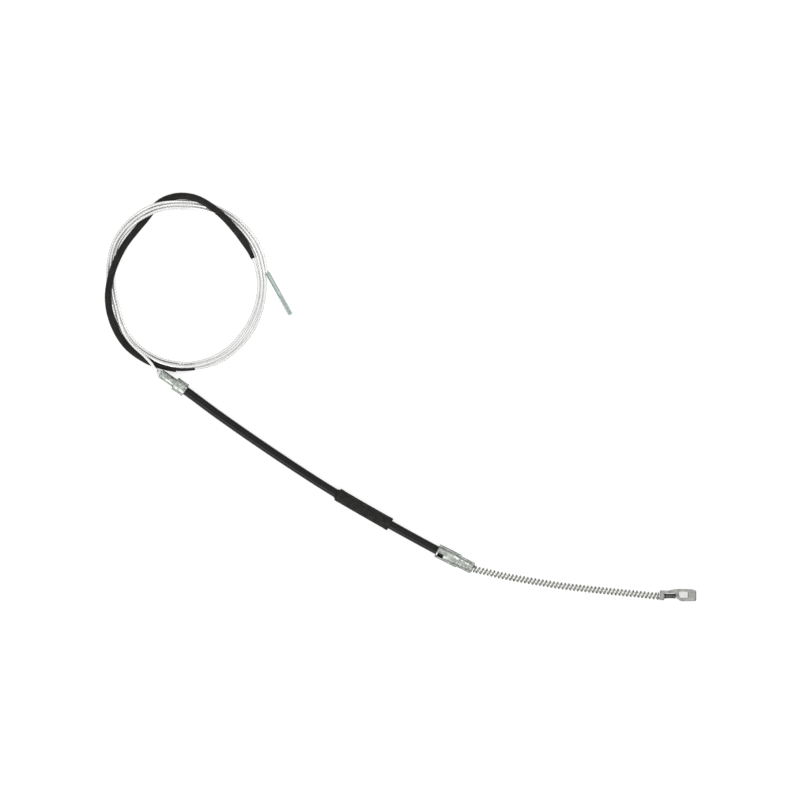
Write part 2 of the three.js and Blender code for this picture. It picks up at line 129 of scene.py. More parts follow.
# The held cable: bush, body ferrule, casing, wheel ferrule, spring, yoke
heldPoints = [
    bushTip, onFerrule(bodyEnd, bodyLength), onFerrule(bodyEnd, bodyEnd["sleeve"]), bodyEnd["rim"],
    (-182.5, -14.0, 4.8), (-137.1, -45.7, 4.5), (-88.6, -77.8, 6.3), (-62.4, -94.1, 6.8),
    (-36.2, -109.4, 6.8), (-9.8, -124.4, 6.8), (14.5, -137.9, 6.85),
    wheelEnd["rim"], onFerrule(wheelEnd, wheelEnd["sleeve"]), onFerrule(wheelEnd, wheelLength),
    (90, -172.5, 6.4), (105, -176.0, 5.7), (120, -178.8, 4.9), (140, -182.3, 4.1), (160, -185.5, 3.8),
    (180, -188.0, 3.75), (200, -190.2, 3.75), (220, -192.2, 3.75), (240, -194.2, 3.85),
    (257.0, -195.9, 4.0), (263.6, -195.9, 4.0), (260.0 + ropeEnd, -195.9, 4.0),
]

# The free cable: off the ferrule, about 3.6 turns clockwise, and down to the rod
leadPoints = [bushTip, (-244.3, 31.1, 8.6), (-246.7, 34.4, 8.65), (-249.4, 37.9, 8.6), (-252.6, 41.3, 8.3),
              (-255.8, 44.6, 7.8)]
coilMiddle = (-214.0, 117.0)
grounded = 1.55
# angle from +X, distance from the coil's middle and height of the cable's middle line, where it isn't grounded
overTheHose = [
    (235, 82.6, 6.75), (230, 81.95, 5.85), (225, 81.1, 5.2), (220, 80.0, 4.85), (215, 78.5, 4.65), (210, 76.8, 4.25),
    (205, 75.3, 3.35), (200, 74.35, 2.1), (195, 74.2, 1.6), (190, 74.3), (180, 75.05), (172, 75.95, 1.6),
    (166, 77.2, 2.1), (160, 78.85, 3.3), (150, 80.8, 4.2), (142, 81.1, 4.95), (136, 81.3, 5.3), (130, 81.25, 5.6),
    (124, 81.1, 6.8), (118, 80.85, 8.3), (114, 80.55, 8.6), (110, 80.2, 7.65), (105, 79.75, 6.0), (100, 79.15, 4.1),
    (92, 78.25, 2.2), (84, 78.35, 1.6), (75, 78.7), (65, 79.0), (55, 79.15), (45, 79.2), (35, 79.15), (26, 79.05),
    (20, 78.95), (13, 78.65), (7, 78.65), (0, 79.1), (-12, 79.8), (-24, 80.85), (-40, 82.95), (-60, 85.25, 1.7),
    (-70, 86.0, 2.1), (-78, 86.0, 2.7),
]
throughTheHose = [
    (276, 85.6, 3.1), (270, 85.9, 3.35), (263, 86.3, 3.5), (246, 86.7, 3.5), (230, 86.5, 3.5), (220, 85.2, 3.5),
    (210, 83.2, 3.7), (200, 81.0, 5.4), (190, 78.6, 6.45), (180, 75.9, 6.7), (170, 73.8, 6.7), (160, 72.3, 6.0),
    (148, 71.8, 3.8), (136, 72.0, 3.5), (128, 73.5, 3.5), (121, 76.0, 3.5), (114, 80.7, 3.5), (107, 84.8, 3.5),
    (98, 86.9, 3.6), (90, 86.6, 4.7), (82, 84.7, 6.2), (74, 81.3, 6.7), (66, 78.1, 6.7), (57, 75.0, 6.5),
    (48, 72.7, 5.3), (38, 71.5, 3.8), (28, 71.3, 3.5), (20, 71.5, 3.5),
]
underTheHose = [
    (14, 71.8, 2.9), (6, 72.2, 1.9), (0, 72.7, 1.6), (-12, 73.1), (-26, 73.6), (-40, 74.8), (-57, 77.4), (-72, 79.2),
    (-84, 80.1), (-92, 80.3), (-104, 80.1), (-111, 79.8), (-120, 79.0), (-130, 77.9), (-140, 76.2), (-145, 75.0),
    (-150, 73.7), (-155, 72.35), (-160, 71.45), (-170, 71.2), (-180, 71.9), (-190, 73.05), (-196, 74.3), (-202, 75.9),
    (-208, 77.55, 1.65), (-214, 78.3, 2.1), (-220, 78.35, 3.15), (-228, 78.1, 6.1), (-234, 77.75, 8.0),
    (-240, 77.5, 8.6), (-246, 77.3, 7.8), (-252, 76.9, 6.0), (-260, 76.0, 3.7), (-268, 74.9, 2.1), (-276, 75.15, 1.6),
    (-285, 75.55), (-295, 75.85), (-305, 76.0), (-315, 76.05), (-325, 76.0), (-334, 75.9), (-340, 75.75),
    (-347, 75.5), (-353, 75.5), (-360, 75.9), (-372, 76.4), (-385, 77.1), (-400, 78.9), (-415, 81.2, 1.6),
    (-428, 82.3, 2.7), (-436, 83.0, 4.7), (-444, 83.6, 6.7), (-452, 83.8, 7.7), (-460, 83.8, 8.0), (-470, 83.0, 7.2),
    (-474, 82.5, 6.5), (-480, 81.85, 5.1),
]
outermost = [
    (-485, 81.55, 3.8), (-490, 81.4, 2.7), (-495, 80.9, 2.1), (-500, 80.0, 1.6), (-505, 79.2), (-510, 78.55),
    (-515, 78.1), (-520, 77.7), (-530, 77.4), (-540, 78.15), (-548, 79.1), (-554, 80.3), (-560, 81.45), (-570, 83.2),
    (-580, 84.1, 1.6), (-588, 84.4, 2.6), (-594, 84.4, 4.5), (-600, 84.3, 6.6), (-606, 83.9, 8.3), (-610, 83.4, 8.6),
    (-614, 82.95, 8.1), (-618, 82.4, 6.6), (-622, 82.0, 4.8), (-628, 81.5, 2.7), (-634, 81.5, 1.7), (-640, 81.75),
    (-650, 82.1), (-660, 82.25), (-670, 82.35), (-680, 82.3), (-686, 82.2),
]
rodEnd = {"start": (-132.4, 127.0, 2.5), "heading": -61.0, "approach": 2.2}
tailPoints = [(-142.5, 158.3, 1.6), (-139.7, 152.5, 1.6), (-137.3, 146.4, 1.6), (-135.45, 140.5, 1.9),
              (-134.4, 135.4, 2.3), Vector(rodEnd["start"]) - headingOf(rodEnd["heading"]) * rodEnd["approach"],
              Vector(rodEnd["start"]) - headingOf(rodEnd["heading"]) * gap]


def onCoil(keys):
    points = []
    for angle, radius, *height in keys:
        turn = math.radians(angle)
        points.append((coilMiddle[0] + radius * math.cos(turn), coilMiddle[1] + radius * math.sin(turn),
                       *(height or [grounded])))
    return points


heldRoute = smoothRoute([inRow(p) for p in heldPoints])
hoseRoute = smoothRoute([inRow(p) for p in onCoil(throughTheHose)])
coilPoints = onCoil(overTheHose + throughTheHose + underTheHose + outermost)
freeRoute = smoothRoute([inRow(p) for p in leadPoints + coilPoints + tailPoints])
print("routes: held cable %.3f m, free cable %.3f m" % (heldRoute["whole"], freeRoute["whole"]))


# ------- swept pieces: rings along a route, each given by its length along, its radii and its twist
def sweep(name, route, rings, hollow=False):
    sides = len(rings[0][1])
    places, faces, around = [], [], []
    for along, radii, twist in rings:
        middle, left, up = onRoute(route, along)
        for i, radius in enumerate(radii):
            angle = 2 * math.pi * i / sides + twist
            places.append(middle + left * radius * math.cos(angle) + up * radius * math.sin(angle))
    count = len(rings)
    for r in range(count if hollow else count - 1):
        following = (r + 1) % count
        for i in range(sides):
            j = (i + 1) % sides
            faces.append((r * sides + i, r * sides + j, following * sides + j, following * sides + i))
            around.append((r, following, i))
    if not hollow:
        faces.append(tuple(reversed(range(sides))))
        faces.append(tuple(range((count - 1) * sides, count * sides)))
    mesh = bpy.data.meshes.new(name)
    mesh.from_pydata(places, [], faces)
    lay = mesh.uv_layers.new(name="lay")  # round the section, and metres along it
    for face, (r, following, i) in zip(mesh.polygons, around):
        corners = ((i, r), (i + 1, r), (i + 1, following), (i, following))
        for corner, (step, ring) in zip(face.loop_indices, corners):
            lay.data[corner].uv = (step / sides, rings[ring][0])
    mesh.validate()
    for face in mesh.polygons:
        face.use_smooth = True
    piece = bpy.data.objects.new(name, mesh)
    bpy.context.collection.objects.link(piece)
    return piece


def hoseRings(start, end, outer, inner, step, sides, lip):
    # outside from start to end, round the rim, and back through the bore
    rings = []
    count = max(2, round((end - start - 2 * lip) / step))
    lipShares = (1.0, 0.6, 0.25, 0.0)
    for share in lipShares:
        along = start + lip * (1 - math.cos(math.pi / 2 * (1 - share)))
        rings.append((along, [outer - lip * share ** 2] * sides, 0.0))
    for i in range(1, count):
        rings.append((start + lip + (end - start - 2 * lip) * i / count, [outer] * sides, 0.0))
    for share in reversed(lipShares):
        along = end - lip * (1 - math.cos(math.pi / 2 * (1 - share)))
        rings.append((along, [outer - lip * share ** 2] * sides, 0.0))
    for i in range(count + 1):
        rings.append((end - (end - start) * i / count, [inner] * sides, 0.0))
    return rings


def ropeRings(start, end, rope):
    # the outer wires of one strand, laid round its core, seen as the rope's outline
    wire = rope["diameter"] / 10  # a wire's radius: five wires lie across the rope
    middleOfWire = 4 * wire
    between = 2 * math.pi / rope["wires"]
    radii = []
    for i in range(rope["wires"] * rope["pointsPerWire"]):
        offset = (i % rope["pointsPerWire"]) / rope["pointsPerWire"] * between
        offset = min(offset, between - offset)
        depth = max(wire ** 2 - (middleOfWire * math.sin(offset)) ** 2, 0.0)
        radii.append(max(middleOfWire * math.cos(offset) + math.sqrt(depth), rope["diameter"] / 2 - rope["valleyShade"]))
    count = round((end - start) / rope["step"])
    rings = []
    for i in range(count + 1):
        along = start + (end - start) * i / count
        rings.append((along, radii, 2 * math.pi * along / rope["lay"]))
    return rings


rope = {"diameter": 0.0031, "wires": 12, "lay": 0.034, "valleyShade": 0.0001, "step": 0.002, "pointsPerWire": 4}
freeCable = sweep("freeCable", freeRoute, ropeRings(0.0, freeRoute["whole"], rope))
heldCable = sweep("heldCable", heldRoute, ropeRings(0.0005, heldRoute["whole"], rope))
print("wire cable laid")

casing = {"outer": 8.8, "bore": 6.9, "inBody": 10.7, "inWheel": 20.7, "step": 0.005, "sides": 32, "lip": 0.0004}
casingStart = lengthNear(heldRoute, inRow(onFerrule(bodyEnd, casing["inBody"])))
casingEnd = lengthNear(heldRoute, inRow(onFerrule(wheelEnd, casing["inWheel"])))
casingJacket = sweep("casingJacket", heldRoute, hoseRings(
    casingStart, casingEnd, casing["outer"] / 2 * mm, casing["bore"] / 2 * mm, casing["step"], casing["sides"],
    casing["lip"]), hollow=True)

hose = {"outer": 6.9, "wall": 1.0, "from": 0.0185, "step": 0.004, "sides": 28, "lip": 0.0005,
        "linerOuter": 4.4, "linerBore": 3.7, "linerEnd": 0.034, "linerLip": 0.0002, "linerSides": 20,
        "taper": 0.021, "narrow": 2.15, "narrowBore": 1.75}


def makeHose():
    # its far end is shrunk down on the cable
    rings = []
    outer, inner = hose["outer"] / 2 * mm, (hose["outer"] / 2 - hose["wall"]) * mm
    straight = hoseRings(hose["from"], hoseRoute["whole"], outer, inner, hose["step"], hose["sides"], hose["lip"])
    for along, radii, twist in straight:
        near = max(0.0, 1 - (hoseRoute["whole"] - along) / hose["taper"])
        ease = near * near * (3 - 2 * near)
        if radii[0] > inner:
            radii = [radius - (outer - hose["narrow"] * mm) * ease for radius in radii]
        else:
            radii = [radius - (inner - hose["narrowBore"] * mm) * ease for radius in radii]
        rings.append((along, radii, twist))
    return sweep("protectiveHose", hoseRoute, rings, hollow=True)


protectiveHose = makeHose()
hoseLiner = sweep("hoseLiner", hoseRoute, hoseRings(
    0.0, hose["linerEnd"], hose["linerOuter"] / 2 * mm, hose["linerBore"] / 2 * mm, hose["step"], hose["linerSides"],
    hose["linerLip"]), hollow=True)

guide = {"middle": (-36.0, -109.6, 6.8), "length": 60.7, "outer": 13.5, "bore": 9.4, "sides": 36,
         "mouth": 0.9, "band": 0.35, "bandLength": 4.0, "neck": 1.6, "steps": 14}
guideMiddle = lengthNear(heldRoute, inRow(guide["middle"]))


def makeGuideSleeve():
    # a moulded sleeve with nearly square ends, a slightly proud band at each, and a thin neck at its start
    half, outer, bore, sides = guide["length"] / 2, guide["outer"] / 2, guide["bore"] / 2, guide["sides"]
    neck, mouth, steps = guide["neck"], half - guide["mouth"], guide["steps"]
    body = outer - guide["band"] / 2
    inBand, offBand = half - guide["bandLength"], half - guide["bandLength"] - 0.6
    profile = [(-half - neck, bore + 0.1), (-half - neck, bore + 0.35), (-half - 0.3, bore + 0.4),
               (-half, bore + 0.6), (-half + 0.02, outer - 0.3), (-half + 0.25, outer - 0.06), (-half + 0.6, outer),
               (-inBand, outer), (-offBand, body)]
    profile += [(offBand * (2 * i / steps - 1), body) for i in range(1, steps)]
    profile += [(offBand, body), (inBand, outer), (half - 0.6, outer), (half - 0.25, outer - 0.06),
                (half - 0.02, outer - 0.3), (half, bore + 0.9), (half, bore + 0.25)]
    profile += [(mouth * (1 - 2 * i / steps), bore) for i in range(steps + 1)]
    rings = [(guideMiddle + along * mm, [radius * mm] * sides, 0.0) for along, radius in profile]
    return sweep("guideSleeve", heldRoute, rings, hollow=True)


guideSleeve = makeGuideSleeve()
print("casing, hose and guide sleeve drawn")

# The return spring's wire, wound round the cable with its last turns drawn together
spring = {"outer": 7.4, "wire": 1.3, "pitch": 3.8, "fromNose": 0.95, "beforeNeck": 0.95, "endPitch": 1.6,
          "stepsPerTurn": 20, "sides": 8, "endShare": 0.8}
springStart = lengthNear(heldRoute, inRow(onFerrule(wheelEnd, wheelLength))) + spring["fromNose"] * mm
springEnd = lengthNear(heldRoute, inRow(yokeEnd["neck"])) - spring["beforeNeck"] * mm


def makeSpring():
    # wound to lean the way that the photo's spring leans
    whole = (springEnd - springStart) / mm
    closing = 2 * (spring["pitch"] - spring["endPitch"])
    turns = (whole + closing) / spring["pitch"]
    steps = round(turns * spring["stepsPerTurn"])
    reach = (spring["outer"] - spring["wire"]) / 2
    points = []
    for i in range(steps + 1):
        turn = turns * i / steps
        ends = min(turn, 1.0) + min(max(turn - turns + 1.0, 0.0), 1.0)
        along = spring["pitch"] * turn - (spring["pitch"] - spring["endPitch"]) * ends
        middle, left, up = onRoute(heldRoute, springStart + along * mm)
        angle = -2 * math.pi * turn
        points.append(middle + (left * math.cos(angle) + up * math.sin(angle)) * reach * mm)
    wire = {"points": points, "lengths": [0.0]}
    for a, b in zip(points, points[1:]):
        wire["lengths"].append(wire["lengths"][-1] + (b - a).length)
    radius = spring["wire"] / 2 * mm
    rings = [(along, [radius] * spring["sides"], 0.0) for along in wire["lengths"]]
    for end in (0, -1):
        rings[end] = (rings[end][0], [radius * spring["endShare"]] * spring["sides"], 0.0)
    return sweep("returnSpring", wire, rings)


returnSpring = makeSpring()
print("spring wound")


# ------- pieces modelled by hand, in millimetres about their own axis, then put in their place
def restart():
    if bpy.context.mode != "OBJECT":
        bpy.ops.object.mode_set(mode="OBJECT")
    bpy.ops.object.select_all(action="DESELECT")


def working(piece):
    restart()
    piece.select_set(True)
    bpy.context.view_layer.objects.active = piece


def applyAll(piece):
    working(piece)
    for modifier in list(piece.modifiers):
        bpy.ops.object.modifier_apply(modifier=modifier.name)


def softenEdges(piece, width, segments=2, angle=35.0):
    bevel = piece.modifiers.new("soften", "BEVEL")
    bevel.width = width
    bevel.segments = segments
    bevel.limit_method = "ANGLE"
    bevel.angle_limit = math.radians(angle)
    applyAll(piece)


def carve(piece, cutter):
    boolean = piece.modifiers.new("carve", "BOOLEAN")
    boolean.operation = "DIFFERENCE"
    boolean.solver = "EXACT"
    boolean.object = cutter
    applyAll(piece)
    bpy.data.objects.remove(cutter)


def turnPiece(name, rows, sides, hollow):
    # a ring is extruded and scaled from row to row, each row a radius and a place along the axis
    restart()
    radius, along = rows[0]
    bpy.ops.mesh.primitive_circle_add(vertices=sides, radius=radius)
    piece = bpy.context.object
    piece.name = name
    bpy.ops.object.mode_set(mode="EDIT")
    bpy.ops.mesh.select_all(action="SELECT")
    bpy.ops.transform.translate(value=(0, 0, along))
    if not hollow:
        bpy.ops.mesh.edge_face_add()
    for nextRadius, nextAlong in rows[1:]:
        bpy.ops.mesh.extrude_region_move(TRANSFORM_OT_translate={"value": (0, 0, nextAlong - along)})
        scale = nextRadius / radius
        bpy.ops.transform.resize(value=(scale, scale, 1.0), center_override=(0, 0, nextAlong))
        radius, along = nextRadius, nextAlong
    bpy.ops.mesh.select_all(action="SELECT")
    bpy.ops.mesh.remove_doubles(threshold=0.001)
    bpy.ops.mesh.normals_make_consistent(inside=False)
    bpy.ops.object.mode_set(mode="OBJECT")
    return piece


def cutPlate(name, outline, thickness):
    # a plate of the given outline, from a filled ring whose corners are moved to it
    restart()
    bpy.ops.mesh.primitive_circle_add(vertices=len(outline), radius=1.0, fill_type="NGON")
    piece = bpy.context.object
    piece.name = name
    for corner, (x, y) in zip(piece.data.vertices, outline):
        corner.co = (x, y, 0)
    bpy.ops.object.mode_set(mode="EDIT")
    bpy.ops.mesh.select_all(action="SELECT")
    bpy.ops.mesh.extrude_region_move(TRANSFORM_OT_translate={"value": (0, 0, thickness)})
    bpy.ops.mesh.select_all(action="SELECT")
    bpy.ops.mesh.normals_make_consistent(inside=False)
    bpy.ops.object.mode_set(mode="OBJECT")
    return piece


def putAlong(piece, start, direction):
    # modelled along +Z with +Y up, it goes to its start and along its direction, in metres
    left = Vector((0, 0, 1)).cross(direction).normalized()
    up = direction.cross(left)
    turn = Matrix((left, up, direction)).transposed().to_4x4()
    working(piece)
    piece.matrix_world = Matrix.Translation(inRow(start)) @ turn @ Matrix.Scale(mm, 4)
    bpy.ops.object.transform_apply(location=True, rotation=True, scale=True)
    smoothFaces(piece)


def smoothFaces(piece, angle=32.0):
    working(piece)
    bpy.ops.object.shade_smooth_by_angle(angle=math.radians(angle))


wheelFerrule = {
    "sleeve": 13.9, "sleeveLength": 24.1, "nose": 11.5, "noseLength": 15.9, "rounding": 1.6, "noseBore": 5.0,
    "seat": 9.4, "seatDepth": 21.0, "sides": 64, "window": (4.8, 6.4), "windowFromRim": 1.5, "windowLean": 28.0,
    "windowSoft": 0.5, "dentRadius": 1.5, "dentDepth": 0.45, "dentBack": 3.4, "dents": 4,
}


def makeWheelFerrule():
    size = wheelFerrule
    outer, nose, seat, bore = (size[key] / 2 for key in ("sleeve", "nose", "seat", "noseBore"))
    shoulder, tip, soft = size["sleeveLength"], size["sleeveLength"] + size["noseLength"], size["rounding"]
    rows = [(seat, 0.35), (seat + 0.35, 0.0), (outer - 0.5, 0.0), (outer - 0.15, 0.15), (outer, 0.5),
            (outer, shoulder - 0.45), (outer - 0.13, shoulder - 0.13), (outer - 0.45, shoulder),
            (nose + 0.2, shoulder), (nose, shoulder + 0.2), (nose, tip - soft),
            (nose - soft * 0.3, tip - soft * 0.42), (nose - soft, tip), (bore + 0.4, tip), (bore, tip - 0.4),
            (bore, size["seatDepth"]), (seat, size["seatDepth"]), (seat, 0.35)]
    ferrule = turnPiece("wheelFerrule", rows, size["sides"], hollow=True)

    # the inspection window, leaning over to one side
    lean = math.radians(size["windowLean"])
    width, length = size["window"]
    restart()
    bpy.ops.mesh.primitive_cube_add(size=1.0)
    window = bpy.context.object
    window.scale = (width, outer, length)
    bpy.ops.object.transform_apply(location=False, rotation=False, scale=True)
    softenEdges(window, size["windowSoft"], 3)
    middle = (outer + seat) / 2
    window.location = (-math.sin(lean) * middle, math.cos(lean) * middle, size["windowFromRim"] + length / 2)
    window.rotation_euler = (0, 0, lean)
    carve(ferrule, window)

    # crimp dents behind the shoulder
    for i in range(size["dents"]):
        angle = 2 * math.pi * i / size["dents"]
        reach = outer + size["dentRadius"] - size["dentDepth"]
        restart()
        bpy.ops.mesh.primitive_uv_sphere_add(
            segments=20, ring_count=12, radius=size["dentRadius"],
            location=(-math.sin(angle) * reach, math.cos(angle) * reach, shoulder - size["dentBack"]))
        carve(ferrule, bpy.context.object)
    putAlong(ferrule, wheelEnd["rim"], headingOf(wheelEnd["heading"], wheelEnd["tilt"]))
    return ferrule


bodyFerrule = {"sleeve": 13.6, "sleeveLength": 12.9, "nose": 8.7, "noseLength": 17.2, "chamfer": 0.5,
               "noseBore": 5.6, "seat": 9.4, "seatDepth": 11.0, "sides": 64, "ring": 0.25, "crimps": 6,
               "crimpRadius": 6.0, "crimpLength": 3.6, "crimpDepth": 0.35, "crimpSoft": 0.4, "crimpSides": 40}


def makeBodyFerrule():
    size = bodyFerrule
    outer, nose, seat, bore = (size[key] / 2 for key in ("sleeve", "nose", "seat", "noseBore"))
    shoulder, tip, soft = size["sleeveLength"], size["sleeveLength"] + size["noseLength"], size["chamfer"]
    groove = outer - size["ring"]
    rows = [(seat, 0.35), (seat + 0.35, 0.0), (outer - 0.5, 0.0), (outer - 0.15, 0.15), (outer, 0.5), (outer, 1.5),
            (groove, 1.75), (groove, shoulder - 1.9), (outer, shoulder - 1.65), (outer, shoulder - 0.5),
            (outer - 0.15, shoulder - 0.15), (outer - 0.5, shoulder), (nose + 0.25, shoulder),
            (nose, shoulder + 0.25), (nose, tip - soft), (nose - soft * 0.3, tip - soft * 0.3), (nose - soft, tip),
            (bore, tip), (bore, size["seatDepth"]), (seat, size["seatDepth"]), (seat, 0.35)]
    ferrule = turnPiece("bodyFerrule", rows, size["sides"], hollow=True)
    # shallow crimp flats round the sleeve
    for i in range(size["crimps"]):
        angle = 2 * math.pi * (i + 0.5) / size["crimps"]
        reach = outer + size["crimpRadius"] - size["crimpDepth"]
        restart()
        bpy.ops.mesh.primitive_cylinder_add(
            vertices=size["crimpSides"], radius=size["crimpRadius"], depth=size["crimpLength"])
        tool = bpy.context.object
        softenEdges(tool, size["crimpSoft"], 2)
        tool.location = (-math.sin(angle) * reach, math.cos(angle) * reach, shoulder / 2)
        carve(ferrule, tool)
    putAlong(ferrule, bodyEnd["rim"], headingOf(bodyEnd["heading"], bodyEnd["tilt"]))
    return ferrule


noseBush = {"bore": 3.7, "stem": 5.0, "stemLength": 9.0, "head": 7.7, "headLength": 3.4, "tipWall": 0.55,
            "sides": 40, "fullness": 1.3}


def makeNoseBush():
    size = noseBush
    bore, stem, head = size["bore"] / 2, size["stem"] / 2, size["head"] / 2
    base, tip = bodyLength + gap, bodyLength + size["headLength"]
    edge = bore + size["tipWall"]
    rows = [(bore, bodyLength - size["stemLength"]), (stem, bodyLength - size["stemLength"]), (stem, base),
            (head - 0.2, base), (head, base + 0.2)]
    steps = 6
    for i in range(1, steps):
        share = i / steps
        narrowing = math.sin(share * math.pi / 2) ** size["fullness"]
        rows.append((head + (edge - head) * narrowing, base + 0.2 + (tip - base - 0.2) * share))
    rows += [(edge, tip - 0.1), (edge - 0.15, tip), (bore, tip), (bore, bodyLength - size["stemLength"])]
    bush = turnPiece("noseBush", rows, size["sides"], hollow=True)
    putAlong(bush, bodyEnd["rim"], headingOf(bodyEnd["heading"], bodyEnd["tilt"]))
    return bush


nipple = {"collar": 5.0, "collarLength": 1.3, "waist": 4.3, "length": 11.2, "bore": 3.7, "floor": 1.6, "sides": 40}


def makeNipple():
    size = nipple
    collar, waist, bore, length, edge = size["collar"] / 2, size["waist"] / 2, size["bore"] / 2, size["length"], 0.15
    ease = collar - waist
    rows = [(0.3, length - size["floor"]), (bore, length - size["floor"]), (bore, 0.0), (collar - edge, 0.0),
            (collar, edge), (collar, size["collarLength"]), (waist + 0.1, size["collarLength"] + ease - 0.05),
            (waist, size["collarLength"] + ease + 0.2), (waist, length - size["collarLength"] - ease - 0.2),
            (waist + 0.1, length - size["collarLength"] - ease + 0.05), (collar, length - size["collarLength"]),
            (collar, length - edge), (collar - edge, length), (0.3, length)]
    piece = turnPiece("cableNipple", rows, size["sides"], hollow=False)
    putAlong(piece, Vector(yokeEnd["neck"]) + Vector((nippleStart, 0, 0)), Vector((1, 0, 0)))
    return piece


threadedRod = {"swage": 4.3, "swageLength": 26.0, "thread": 5.0, "threadLength": 22.0, "pitch": 0.8, "depth": 0.3,
               "tip": 0.8, "runout": 0.2, "sides": 32}


def makeThreadedRod():
    size = threadedRod
    swage, crest, pitch = size["swage"] / 2, size["thread"] / 2, size["pitch"]
    root = crest - size["depth"]
    rows = [(swage - 0.45, 0.0), (swage - 0.12, 0.12), (swage, 0.45), (swage, size["swageLength"] - 1.2),
            (root, size["swageLength"]), (root - 0.3, size["swageLength"] + 0.4)]
    rod = turnPiece("threadedRod", rows, size["sides"], hollow=False)

    # one pitch of the thread's profile, screwed up the rod and cut square at both ends
    restart()
    bpy.ops.mesh.primitive_circle_add(vertices=3, radius=1.0)
    thread = bpy.context.object
    working(thread)
    bpy.ops.object.mode_set(mode="EDIT")
    shell = bmesh.from_edit_mesh(thread.data)
    corners = list(shell.verts)
    for corner, place in zip(corners, ((root, 0, 0), (crest, 0, pitch * 0.5), (root, 0, pitch))):
        corner.co = place
    for edge in list(shell.edges):
        if {v.index for v in edge.verts} == {corners[0].index, corners[2].index}:
            shell.edges.remove(edge)
    bmesh.update_edit_mesh(thread.data)
    bpy.ops.object.mode_set(mode="OBJECT")
    screw = thread.modifiers.new("thread", "SCREW")
    screw.angle = 2 * math.pi
    screw.screw_offset = pitch
    screw.iterations = round(size["threadLength"] / pitch) + 2
    screw.steps = screw.render_steps = size["sides"]
    screw.use_merge_vertices = True
    screw.merge_threshold = 0.002
    applyAll(thread)
    bpy.ops.object.mode_set(mode="EDIT")
    for height, clearBelow in ((pitch, True), (pitch + size["threadLength"], False)):
        bpy.ops.mesh.select_all(action="SELECT")
        bpy.ops.mesh.bisect(plane_co=(0, 0, height), plane_no=(0, 0, 1), use_fill=True,
                            clear_inner=clearBelow, clear_outer=not clearBelow)
    bpy.ops.mesh.select_all(action="SELECT")
    bpy.ops.mesh.remove_doubles(threshold=0.002)
    bpy.ops.mesh.normals_make_consistent(inside=False)
    bpy.ops.transform.translate(value=(0, 0, size["swageLength"] - pitch))
    bpy.ops.object.mode_set(mode="OBJECT")
    end = size["swageLength"] + size["threadLength"]
    for corner in thread.data.vertices:
        reach = math.hypot(corner.co.x, corner.co.y)
        near = min(end - corner.co.z, (corner.co.z - size["swageLength"]) * 1.5)
        most = crest - max(0.0, size["tip"] - near)
        if reach > most:
            corner.co.x *= most / reach
            corner.co.y *= most / reach
    working(thread)
    rod.select_set(True)
    bpy.context.view_layer.objects.active = rod
    bpy.ops.object.join()
    putAlong(rod, rodEnd["start"], headingOf(rodEnd["heading"]))
    return rod


yoke = {
    "width": 8.0, "neck": 3.6, "below": 4.0, "above": 5.5, "strap": 2.3, "pocketEnd": 15.4, "windowStart": 18.5,
    "windowEnd": 27.8, "windowTop": 4.6, "windowFloor": -1.9, "bottom": -5.0, "top": 6.9, "tip": 36.0,
    "rounding": 3.2, "bore": 3.7, "soft": 0.35,
}


def bend(outline, control, end, steps):
    # on from the outline's last point to the end, drawn towards the control point
    start = outline[-1]
    for i in range(1, steps + 1):
        t = i / steps
        outline.append(tuple(a * (1 - t) ** 2 + 2 * b * t * (1 - t) + c * t ** 2
                             for a, b, c in zip(start, control, end)))


